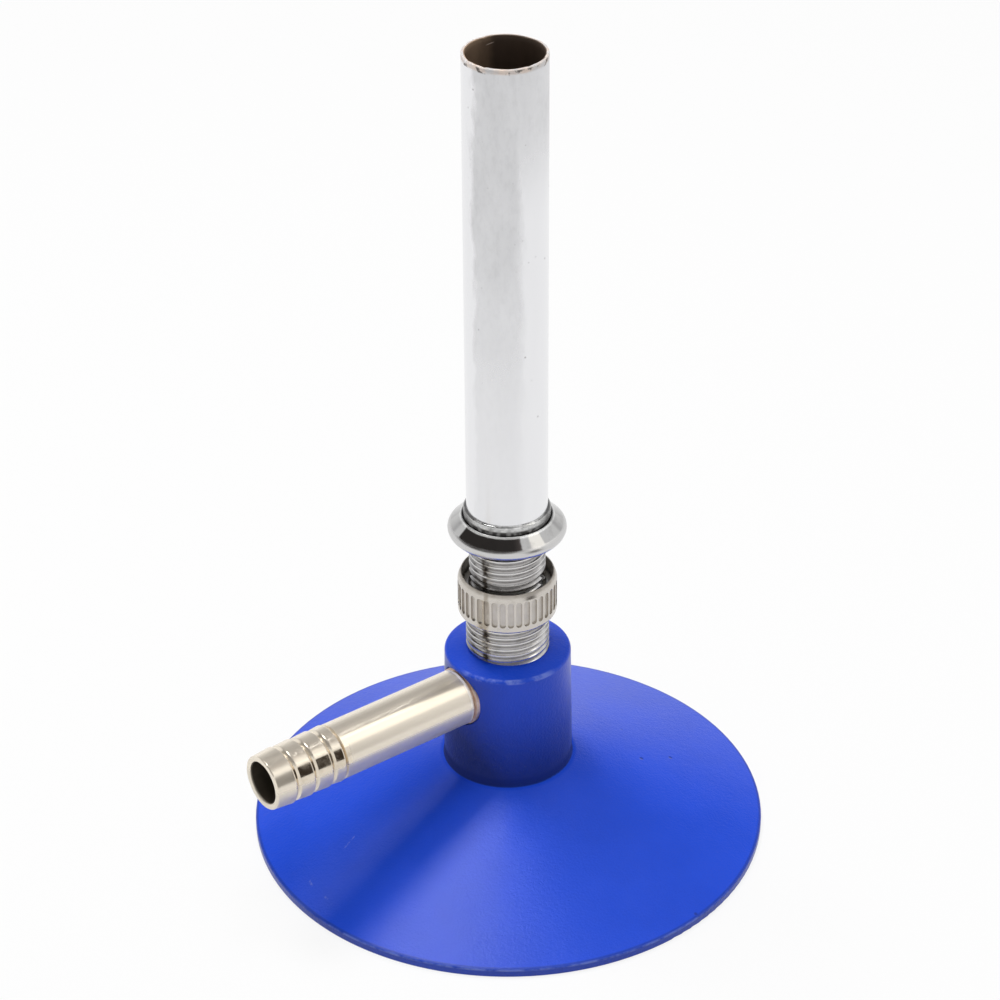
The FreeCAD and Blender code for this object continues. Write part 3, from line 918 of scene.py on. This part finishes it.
@dataclass(frozen=True)
class NozzleNickel(Finish):
    """Warm nickel on the hose nozzle: bright barbs, a satin tube, painted sheen on the barbs' tops and
    the underside, a painted highlight ring by the washer, and a dark bore.
    """

    height: float
    tip: float
    end: float
    colour: Colour = (0.74, 0.66, 0.545)
    # satin finish, and the painted sheen on the barbs' tops and the underside
    satin_and_sheen_colour: Colour = (0.88, 0.80, 0.675)
    # painted highlight colour of the ring on the chamfer by the washer
    ring_highlight_colour: Colour = (0.92, 0.87, 0.78)
    dull_colour: Colour = (0.58, 0.50, 0.39)
    # dark colour inside the bore's mouth
    mouth_dark_colour: Colour = (0.12, 0.10, 0.075)
    axis: Vector = Vector((1.0, 0.0, 0.0))
    bore: float = 3.55
    gloss: float = 0.1
    satin: float = 0.22
    dull: float = 0.24
    lines: Grain = Grain(1.4)
    line_stretch: Triple = (4.0, 0.15, 0.15)
    line_depth: float = 0.0004 * MM
    blemish: Grain = Grain(0.35, 4.0, 0.6)
    blemish_at: Span = (0.48, 0.75)
    blemish_share: float = 0.55
    specks: Spots = Spots(0.6, (0.09, 0.04), Grain(0.3), (0.5, 0.65))
    speck_share: float = 0.4
    bore_skin: Span = (0.12, 0.04)
    mouth: Span = (0.0, 0.6)
    bore_hides: float = 0.3
    bore_dulls: float = 0.2
    first_barb: Span = (3.4, 3.2)
    tube_at: Span = (13.9, 14.2)
    crown_at: Span = (3.1, 3.5)
    satin_hides: float = 0.3
    belly_at: Span = (1.0, -0.2)
    belly_hides: float = 0.25
    belly_dulls: float = 0.12
    ring_highlight_at: Span = (-1.0, -0.85)
    ring_highlight_hides: float = 0.35

    def lay(self, graph: Graph) -> None:
        """Draw the nozzle's nodes.

        Args:
            graph: The finish's graph, empty at first.
        """
        place = graph.place()
        radius = graph.from_line(place, self.axis, UPRIGHT * self.height)
        along = graph.along(place, self.axis)
        from_tip = along - self.tip
        rise = graph.along(place, UPRIGHT) - self.height
        lines = graph.noise(graph.scaled(place, self.line_stretch), self.lines)
        blemish = graph.noise(place, self.blemish).over(*self.blemish_at)
        specks = graph.spots(place, self.specks)
        # darker inside the bore's mouth
        inside = (radius - self.bore).over(*self.bore_skin) * from_tip.over(*self.mouth)
        tube = from_tip.over(*self.tube_at)
        first = from_tip.over(*self.first_barb)
        # the barbs' tops (crown) and the tube's underside (belly) take the lighter, less mirror-like
        # satin: painted sheen
        crown = rise.over(*self.crown_at)
        belly = rise.over(*self.belly_at)
        satin = tube.most(first, crown, belly)
        # painted highlight: a pale, less metallic ring on the chamfer by the washer
        ring = (along - self.end).over(*self.ring_highlight_at)
        marks = blemish * self.blemish_share + specks * self.speck_share
        tone = graph.blend(marks, self.colour, self.dull_colour)
        tone = graph.blend(satin, tone, self.satin_and_sheen_colour)
        tone = graph.blend(ring, tone, self.ring_highlight_colour)
        tone = graph.blend(inside, tone, self.mouth_dark_colour)
        patchy = blemish * (1.0 - satin) * (self.dull - self.gloss)
        worn = self.gloss + patchy + satin * (self.satin - self.gloss)
        hidden = (satin * self.satin_hides + belly * self.belly_hides) * (1.0 - inside)
        graph.surface(
            {
                "Base Color": tone,
                "Metallic": 1.0 - inside * self.bore_hides - hidden - ring * self.ring_highlight_hides,
                "Roughness": worn + inside * self.bore_dulls + belly * self.belly_dulls,
                "Normal": graph.bump(lines, self.line_depth),
            }
        )


@dataclass(frozen=True)
class WasherStock(Finish):
    """Washer stock, fibre or copper, with a mottled, slightly rough face."""

    colour: Colour = (0.30, 0.16, 0.09)
    dark_colour: Colour = (0.16, 0.08, 0.045)
    metal: float = 0.0
    gloss: float = 0.5
    mottle: Grain = Grain(0.9, 4.0, 0.6)
    mottle_at: Span = (0.3, 0.7)
    mottle_dulls: float = 0.15
    grain: Grain = Grain(4.0)
    relief_depth: float = 0.01 * MM

    def lay(self, graph: Graph) -> None:
        """Draw the washer's nodes.

        Args:
            graph: The finish's graph, empty at first.
        """
        place = graph.place()
        mottle = graph.noise(place, self.mottle)
        grain = graph.noise(place, self.grain)
        graph.surface(
            {
                "Base Color": graph.blend(mottle.over(*self.mottle_at), self.colour, self.dark_colour),
                "Metallic": self.metal,
                "Roughness": self.gloss + mottle * self.mottle_dulls,
                "Normal": graph.bump(grain, self.relief_depth),
            }
        )


class SubAssembly:
    """Pieces of the burner that are built and dressed together."""

    def build(self) -> None:
        """Make new meshes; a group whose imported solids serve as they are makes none."""

    def dress(self) -> list[bpy.types.Object]:
        """Give every piece its finish and return the pieces; each group has its own."""
        raise NotImplementedError


@dataclass
class BaseCasting(SubAssembly):
    """Painted casting that everything stands on."""

    node: str = "base"
    boss_radius: float = 10.6
    boss_foot: float = 13.3
    boss_edge: float = 34.0
    rim_radius: float = 42.4
    # painted highlight lines on the boss's top edge and on the rim, on the front
    highlight_lines: tuple[HighlightLine, ...] = (
        HighlightLine(10.1, 33.9, across=(0.55, 0.2), tall=(0.5, 0.2), front=(6.0, 9.0), share=1.0),
        HighlightLine(42.4, 1.38, across=(0.4, 0.2), tall=(0.22, 0.08), front=(18.0, 34.0), share=0.6),
    )
    scratches: tuple[Scratch, ...] = (
        Scratch(start=(-31.6, 2.9), end=(-28.4, 3.7), width=0.2, strength=0.6),
        Scratch(start=(-38.7, 2.5), end=(-39.2, 0.9), width=0.25, strength=0.6),
        Scratch(start=(-39.1, -2.2), end=(-39.0, -3.4), width=0.25, strength=0.55),
    )

    def dress(self) -> list[bpy.types.Object]:
        """Paint the casting.

        Returns:
            The casting.
        """
        paint = GlossPaint(
            "gloss_blue_paint",
            Slot.BLUE_PAINT,
            boss_radius=self.boss_radius,
            boss_foot=self.boss_foot,
            boss_edge=self.boss_edge,
            rim_radius=self.rim_radius,
            highlight_lines=self.highlight_lines,
            scratches=self.scratches,
        )
        return [paint.dress(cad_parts[self.node])]


@dataclass
class GasInlet(SubAssembly):
    """Hose nozzle and the washer behind it."""

    nozzle: str = "hose_nozzle"
    washer: str = "nozzle_washer"

    def dress(self) -> list[bpy.types.Object]:
        """Plate the nozzle and give its washer bare copper.

        Returns:
            The nozzle and its washer.
        """
        low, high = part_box(self.nozzle)
        nickel = NozzleNickel(
            "warm_nickel_plate",
            Slot.WARM_NICKEL,
            height=(low.z + high.z) / 2 / MM,
            tip=low.x / MM,
            end=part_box(self.washer)[0].x / MM,
        )
        copper = WasherStock(
            "copper_washer",
            Slot.COPPER,
            colour=(0.84, 0.68, 0.57),
            dark_colour=(0.66, 0.47, 0.37),
            metal=0.6,
            gloss=0.4,
        )
        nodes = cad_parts
        return [nickel.dress(nodes[self.nozzle]), copper.dress(nodes[self.washer])]


@dataclass
class StemGroup(SubAssembly):
    """Threaded air stem with the jet and washer inside it."""

    stem: str = "air_stem"
    jet: str = "gas_jet"
    washer: str = "stem_washer"
    nut: str = "air_nut"
    neck_valley: float = 5.9
    foot_valley: float = 6.5
    # painted dark reflection down the front of the stem's threads
    dark_reflection: DarkReflection = DarkReflection(at=-3.6, half=0.35)

    def dress(self) -> list[bpy.types.Object]:
        """Chrome the stem, and leave the jet brass and the washer fibre.

        Returns:
            The stem, the jet and the washer.
        """
        nut_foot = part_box(self.nut)[0].z / MM
        chrome = Plate(
            "stem_chrome",
            Slot.BRIGHT_PLATE,
            colour=(0.66, 0.65, 0.645),
            gloss=0.2,
            dull=0.3,
            valleys=(Valley(self.neck_valley), Valley(self.foot_valley, top=nut_foot)),
            dirt_and_shade_share=0.17,
            dark_reflection=self.dark_reflection,
        )
        brass = Plate(
            "jet_brass",
            Slot.BRASS,
            colour=(0.78, 0.58, 0.26),
            dull_colour=(0.52, 0.36, 0.15),
            gloss=0.2,
            dull=0.35,
        )
        fibre = WasherStock("fibre_washer", Slot.FIBRE)
        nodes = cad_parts
        return [
            chrome.dress(nodes[self.stem]),
            brass.dress(nodes[self.jet]),
            fibre.dress(nodes[self.washer]),
        ]


@dataclass
class AirControl(SubAssembly):
    """Knurled air nut and the washer lying in its cup."""

    nut: str = "air_nut"
    washer: str = "cup_washer"
    flute_valley: float = 7.84
    # painted dark reflection down the front of the nut
    dark_reflection: DarkReflection = DarkReflection(at=-3.4, half=0.3)

    def dress(self) -> list[bpy.types.Object]:
        """Give the nut satin nickel and its washer bright plate.

        Returns:
            The nut and its washer.
        """
        satin = Plate(
            "satin_nickel_plate",
            Slot.SATIN_NICKEL,
            colour=(0.60, 0.565, 0.52),
            dull_colour=(0.50, 0.465, 0.42),
            dirt_and_shade_colour=(0.38, 0.34, 0.29),
            gloss=0.24,
            dull=0.34,
            valleys=(Valley(self.flute_valley),),
            dirt_and_shade_share=0.37,
            dark_reflection=self.dark_reflection,
        )
        bright = Plate("washer_plate", Slot.BRIGHT_PLATE, gloss=0.18, dull=0.3)
        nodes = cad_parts
        return [satin.dress(nodes[self.nut]), bright.dress(nodes[self.washer])]


@dataclass(frozen=True)
class LipDent:
    """A dent or nick in the barrel's lip: where it is, how wide, how far in and how far down."""

    azimuth: float
    width: float
    inward: float
    down: float


@dataclass
class BarrelStack(SubAssembly):
    """Bevelled collar and the barrel, whose lip is knocked about."""

    collar: str = "barrel_collar"
    barrel: str = "barrel"
    body: str = "burner"
    radius: float = 6.5 * MM
    wall: float = 0.55 * MM
    spigot_step: float = 0.22 * MM
    spigot_length: float = 2.8 * MM
    shelf_radius: float = 7.38
    shelf_drop: float = 2.04
    # painted shade on the collar's neck, in the recess round the barrel's foot
    neck_shade_fade: float = 0.6
    neck_shade_above: float = 0.35
    # satin band, painted lighter as a highlight on the rounded lower rim
    satin_radius: float = 9.1
    lip_round: float = 0.16 * MM
    lip_arc_steps: int = 4
    lip_rows: int = 6
    rows: int = 40
    segments: int = 192
    sharp_angle: float = 40.0
    dent_reach: float = 2.2 * MM
    inward_ease: int = 2
    down_ease: int = 6
    dents: tuple[LipDent, ...] = (
        LipDent(160.0, 5.0, 0.05 * MM, 0.10 * MM),
        LipDent(172.0, 3.0, 0.02 * MM, 0.14 * MM),
        LipDent(188.0, 9.0, 0.09 * MM, 0.05 * MM),
        LipDent(203.0, 2.5, 0.02 * MM, 0.12 * MM),
        LipDent(240.0, 14.0, 0.05 * MM, 0.06 * MM),
        LipDent(268.0, 3.0, 0.03 * MM, 0.09 * MM),
        LipDent(300.0, 6.0, 0.08 * MM, 0.12 * MM),
        LipDent(318.0, 2.5, 0.02 * MM, 0.16 * MM),
        LipDent(20.0, 11.0, 0.06 * MM, 0.04 * MM),
        LipDent(85.0, 4.0, 0.03 * MM, 0.08 * MM),
    )
    tube: bpy.types.Object | None = None

    def profile(self, low: float, top: float) -> list[Span]:
        """Outline of the tube's wall, once round.

        Args:
            low: Height of the spigot's foot.
            top: Height of the lip.

        Returns:
            Radius and height of each point, from the inner foot outwards and up.
        """
        bore = self.radius - self.wall
        shoulder = low + self.spigot_length
        points = [(bore, low), (self.radius - self.spigot_step, low)]
        points += [(self.radius - self.spigot_step, shoulder), (self.radius, shoulder)]
        lip_foot = top - self.dent_reach
        lip_head = top - self.lip_round
        tube_step = (lip_foot - shoulder) / self.rows
        lip_step = (lip_head - lip_foot) / self.lip_rows
        heights = [shoulder + tube_step * i for i in range(1, self.rows + 1)]
        heights += [lip_foot + lip_step * i for i in range(1, self.lip_rows)]
        points += [(self.radius, z) for z in heights]
        outer_centre = self.radius - self.lip_round
        inner_centre = bore + self.lip_round
        for centre, first in ((outer_centre, 0.0), (inner_centre, 90.0)):
            for i in range(self.lip_arc_steps + 1):
                turn = math.radians(first + 90.0 * i / self.lip_arc_steps)
                radial = centre + self.lip_round * math.cos(turn)
                points.append((radial, lip_head + self.lip_round * math.sin(turn)))
        points += [(bore, z) for z in reversed(heights)]
        return points

    def knocked(self, radius: float, height: float, azimuth: float, top: float) -> Span:
        """Where a point of the tube lies once the lip's dents are in.

        Args:
            radius: The point's radius on a true tube.
            height: Its height.
            azimuth: Its place round the tube, in degrees.
            top: Height of the lip.

        Returns:
            The new radius and height.
        """
        near = max(0.0, 1.0 - (top - height) / self.dent_reach)
        inward = 0.0
        down = 0.0
        for dent in self.dents:
            turn = (azimuth - dent.azimuth + 180.0) % 360.0 - 180.0
            weight = math.exp(-((turn / dent.width) ** 2))
            inward += dent.inward * weight * near**self.inward_ease
            down += dent.down * weight * near**self.down_ease
        return radius - inward, height - down

    def build(self) -> None:
        """Make the barrel with its knocked lip, which stands for the plain tube."""
        low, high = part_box(self.barrel)
        profile = self.profile(low.z, high.z)
        bm = bmesh.new()
        rings = []
        for k in range(self.segments):
            azimuth = 360.0 * k / self.segments
            turn = math.radians(azimuth)
            ring = []
            for radius, height in profile:
                r, z = self.knocked(radius, height, azimuth, high.z)
                ring.append(bm.verts.new((r * math.cos(turn), r * math.sin(turn), z)))
            rings.append(ring)
        count = len(profile)
        for k in range(self.segments):
            here, there = rings[k], rings[(k + 1) % self.segments]
            for i in range(count):
                j = (i + 1) % count
                bm.faces.new((here[i], there[i], there[j], here[j]))
        mesh = bpy.data.meshes.new("worn_barrel")
        bm.normal_update()
        bm.to_mesh(mesh)
        bm.free()
        mesh.shade_smooth()
        mesh.set_sharp_from_angle(angle=math.radians(self.sharp_angle))
        self.tube = bpy.data.objects.new("worn_barrel", mesh)
        bpy.context.scene.collection.objects.link(self.tube)
        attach(self.tube, self.body)
        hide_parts(self.barrel)
        log.info("worn_barrel built with %d faces", len(mesh.polygons))

    def dress(self) -> list[bpy.types.Object]:
        """Nickel the barrel and chrome the collar.

        Returns:
            The barrel and the collar.
        """
        collar_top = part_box(self.collar)[1].z / MM
        # painted shade on the collar's neck and shelf, in the recess round the barrel's foot
        dirt_and_shade = Valley(
            self.shelf_radius,
            top=collar_top,
            top_fade=self.neck_shade_fade,
            above=self.neck_shade_above,
        )
        nickel = BarrelNickel(
            "smudged_nickel_painted_reflection",
            Slot.BRIGHT_PLATE,
            radius=self.radius / MM,
            bore=(self.radius - self.wall) / MM,
            top=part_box(self.barrel)[1].z / MM,
            foot=collar_top,
        )
        chrome = Plate(
            "collar_chrome",
            Slot.BRIGHT_PLATE,
            colour=(0.48, 0.477, 0.473),
            dull_colour=(0.36, 0.355, 0.35),
            dirt_and_shade_colour=(0.035, 0.033, 0.032),
            gloss=0.05,
            dull=0.12,
            valleys=(dirt_and_shade,),
            dirt_and_shade=Grain(0.9),
            dirt_and_shade_share=0.6,
            satin_radius=self.satin_radius,
            # painted highlight on the shelf's rim and on the neck's front
            edge=ShelfHighlight(self.shelf_radius, above=collar_top - self.shelf_drop),
        )
        return [nickel.dress(self.tube), chrome.dress(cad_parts[self.collar])]


@dataclass(frozen=True)
class Panel:
    """A flat panel of the studio, as metal sees it: direction from the camera's side, size, tone."""

    azimuth: float
    elevation: float
    half_width: float
    half_height: float
    tone: Colour
    edge: float = 0.03


@dataclass(frozen=True)
class Lamp:
    """A soft square lamp over or beside the object."""

    name: str
    azimuth: float
    elevation: float
    distance: float
    side: float
    watts: float
    mirrored: bool = False


@dataclass
class Studio:
    """White floor, soft lamps, white walls under a dark ceiling, and the camera."""

    camera_reach: float = 0.43055
    camera_height: float = 0.33378
    camera_pitch: float = math.radians(32.25)
    camera_yaw: float = math.radians(-0.147)
    camera_roll: float = math.radians(-0.34)
    camera_near: float = 0.01
    focal_pixels: float = 3219.1
    picture_pixels: float = 1000.0
    sensor: float = 36.0
    floor_half: float = 4.0
    floor_gap: float = 0.05 * MM
    floor_colour: Colour = (0.86, 0.86, 0.86)
    floor_white: Colour = (1.0, 1.0, 1.0)
    floor_glow: float = 0.85
    wall_tone: Colour = (1.0, 1.0, 1.0)
    back_tone: Colour = (0.28, 0.28, 0.29)
    back_across: Span = (0.5, 0.62)
    back_up: Span = (0.06, 0.6)
    ceiling_left_tone: Colour = (0.05, 0.045, 0.043)
    ceiling_right_tone: Colour = (0.19, 0.16, 0.155)
    ceiling_across: Span = (0.05, 0.45)
    ceiling_edge: Span = (0.735, 0.765)
    ceiling_tilt: float = 0.371
    open_side: float = 100.0
    fill: Colour = (0.22, 0.22, 0.22)
    facing: Span = (0.0, 0.1)
    target: Vector = Vector((0.0, 0.0, 0.05))
    panels: tuple[Panel, ...] = (
        Panel(52.0, 19.0, half_width=0.17, half_height=0.33, tone=(0.045, 0.035, 0.028)),
        Panel(137.0, 54.0, half_width=0.16, half_height=0.14, tone=(0.34, 0.34, 0.34)),
        Panel(104.0, 60.0, half_width=0.12, half_height=0.07, tone=(2.4, 2.35, 2.2)),
        Panel(78.0, 45.0, half_width=0.14, half_height=0.17, tone=(1.7, 1.66, 1.57)),
    )
    lamps: tuple[Lamp, ...] = (
        Lamp("overhead_softbox", 0.0, 88.0, distance=1.2, side=0.9, watts=9.8),
        Lamp("back_left_softbox", -132.0, 71.0, distance=1.0, side=0.25, watts=3.0, mirrored=True),
        Lamp("left_softbox", -95.0, 32.0, distance=1.1, side=0.9, watts=0.5),
        Lamp("right_softbox", 100.0, 40.0, distance=1.1, side=0.9, watts=0.8),
    )

    def turned(self, vector: Vector) -> Vector:
        """Vector of the camera's frame, with +Y away from the camera, in the part's frame."""
        return Matrix.Rotation(FRONT_TURN, 3, "Z") @ vector

    def direction(self, azimuth: float, elevation: float) -> Vector:
        """Direction out from the object.

        Args:
            azimuth: Degrees to the right of the camera, seen from the camera.
            elevation: Degrees above the floor.

        Returns:
            The direction in the part's frame, of length 1.
        """
        a = math.radians(azimuth)
        e = math.radians(elevation)
        side = Vector((math.sin(a) * math.cos(e), -math.cos(a) * math.cos(e), math.sin(e)))
        return self.turned(side)

    def add_camera(self) -> None:
        """Stand the camera where the photograph was taken from."""
        level = math.cos(self.camera_pitch)
        drop = -math.sin(self.camera_pitch)
        ahead = Vector((math.sin(self.camera_yaw) * level, math.cos(self.camera_yaw) * level, drop))
        right = ahead.cross(UPRIGHT).normalized()
        up = right.cross(ahead)
        rolled_right = right * math.cos(self.camera_roll) + up * math.sin(self.camera_roll)
        rolled_up = up * math.cos(self.camera_roll) - right * math.sin(self.camera_roll)
        axes = [self.turned(axis) for axis in (rolled_right, rolled_up, -ahead)]
        stand = self.turned(Vector((0.0, -self.camera_reach, self.camera_height)))
        data = bpy.data.cameras.new("camera")
        data.sensor_width = self.sensor
        data.lens = self.focal_pixels * self.sensor / self.picture_pixels
        data.clip_start = self.camera_near
        camera = bpy.data.objects.new("camera", data)
        camera.matrix_world = Matrix.Translation(stand) @ Matrix(axes).transposed().to_4x4()
        bpy.context.scene.collection.objects.link(camera)
        bpy.context.scene.camera = camera

    def add_floor(self) -> None:
        """Lay the white floor, which keeps the object's shadow."""
        half = self.floor_half
        corners = [(-half, -half), (half, -half), (half, half), (-half, half)]
        mesh = bpy.data.meshes.new("floor")
        mesh.from_pydata([(x, y, -self.floor_gap) for x, y in corners], [], [(0, 1, 2, 3)])
        floor = bpy.data.objects.new("floor", mesh)
        bpy.context.scene.collection.objects.link(floor)
        material = bpy.data.materials.new("white_floor")
        material.use_nodes = True
        graph = Graph(material.node_tree)
        lit = graph.add("ShaderNodeBsdfDiffuse", {}, {"Color": (*self.floor_colour, 1.0)})
        glow = graph.add("ShaderNodeEmission", {}, {"Color": (*self.floor_white, 1.0), "Strength": 1.0})
        shown = self.seen_directly(graph) * self.floor_glow
        mixed = graph.add("ShaderNodeMixShader", {}, {0: shown, 1: lit, 2: glow})
        graph.add("ShaderNodeOutputMaterial", {}, {"Surface": mixed})
        mesh.materials.append(material)

    def seen_directly(self, graph: Graph) -> Wire:
        """Mask of rays that show a surface: from the camera, in metal or through glass.

        Args:
            graph: The graph of the floor or the world.

        Returns:
            The mask, 0 or 1.
        """
        rays = ("Is Camera Ray", "Is Glossy Ray", "Is Transmission Ray")
        first, *rest = [graph.add("ShaderNodeLightPath", output=ray) for ray in rays]
        return first.most(*rest)

    def panel_mask(self, graph: Graph, look: Wire, panel: Panel) -> Wire:
        """Mask of the directions in which a panel stands.

        Args:
            graph: The world's graph.
            look: The direction of a ray.
            panel: The panel.

        Returns:
            The mask, from 0 to 1.
        """
        middle = self.direction(panel.azimuth, panel.elevation)
        across = middle.cross(UPRIGHT).normalized()
        upward = across.cross(middle)
        mask = graph.along(look, middle).over(*self.facing)
        for axis, half in ((across, panel.half_width), (upward, panel.half_height)):
            mask = mask * graph.along(look, axis).size().over(half + panel.edge, half)
        return mask

    def add_walls(self) -> None:
        """Set the world: plain fill light, and white walls under a dark ceiling for reflections."""
        world = bpy.data.worlds.new("studio")
        world.use_nodes = True
        bpy.context.scene.world = world
        graph = Graph(world.node_tree)
        look = graph.add("ShaderNodeTexCoord", output="Generated")
        open_side = graph.along(look, self.direction(self.open_side, 0.0))
        rise = graph.along(look, UPRIGHT)
        behind = graph.along(look, self.direction(180.0, 0.0))
        back = behind.over(*self.back_across) * rise.over(*self.back_up)
        ceiling = (rise - open_side * self.ceiling_tilt).over(*self.ceiling_edge)
        to_right = open_side.over(*self.ceiling_across)
        overhead = graph.blend(to_right, self.ceiling_left_tone, self.ceiling_right_tone)
        tone = graph.blend(back, self.wall_tone, self.back_tone)
        tone = graph.blend(ceiling, tone, overhead)
        for panel in self.panels:
            tone = graph.blend(self.panel_mask(graph, look, panel), tone, panel.tone)
        colour = graph.blend(self.seen_directly(graph), self.fill, tone)
        background = graph.add("ShaderNodeBackground", {}, {"Color": colour, "Strength": 1.0})
        graph.add("ShaderNodeOutputWorld", {}, {"Surface": background})

    def add_lamps(self) -> None:
        """Hang the soft lamps, each turned to the object."""
        for lamp in self.lamps:
            data = bpy.data.lights.new(lamp.name, "AREA")
            data.shape = "SQUARE"
            data.size = lamp.side
            data.energy = lamp.watts
            light = bpy.data.objects.new(lamp.name, data)
            towards = self.direction(lamp.azimuth, lamp.elevation)
            light.location = self.target + towards * lamp.distance
            light.rotation_euler = towards.to_track_quat("Z", "Y").to_euler()
            light.visible_glossy = lamp.mirrored
            bpy.context.scene.collection.objects.link(light)

    def build(self) -> None:
        """Set up floor, walls, lamps and camera."""
        bpy.context.scene.view_settings.view_transform = "Standard"
        self.add_floor()
        self.add_walls()
        self.add_lamps()
        self.add_camera()
        log.info("studio set up with %d lamps", len(self.lamps))


def main() -> None:
    """Build and dress the burner from the bench upwards, then the studio."""
    logging.basicConfig(level=logging.INFO)
    for group in (BaseCasting(), GasInlet(), StemGroup(), AirControl(), BarrelStack()):
        group.build()
        for piece in group.dress():
            log.info("%s dressed in %s", piece.name, piece.active_material.name)
    Studio().build()


if __name__ == "__main__":
    main()
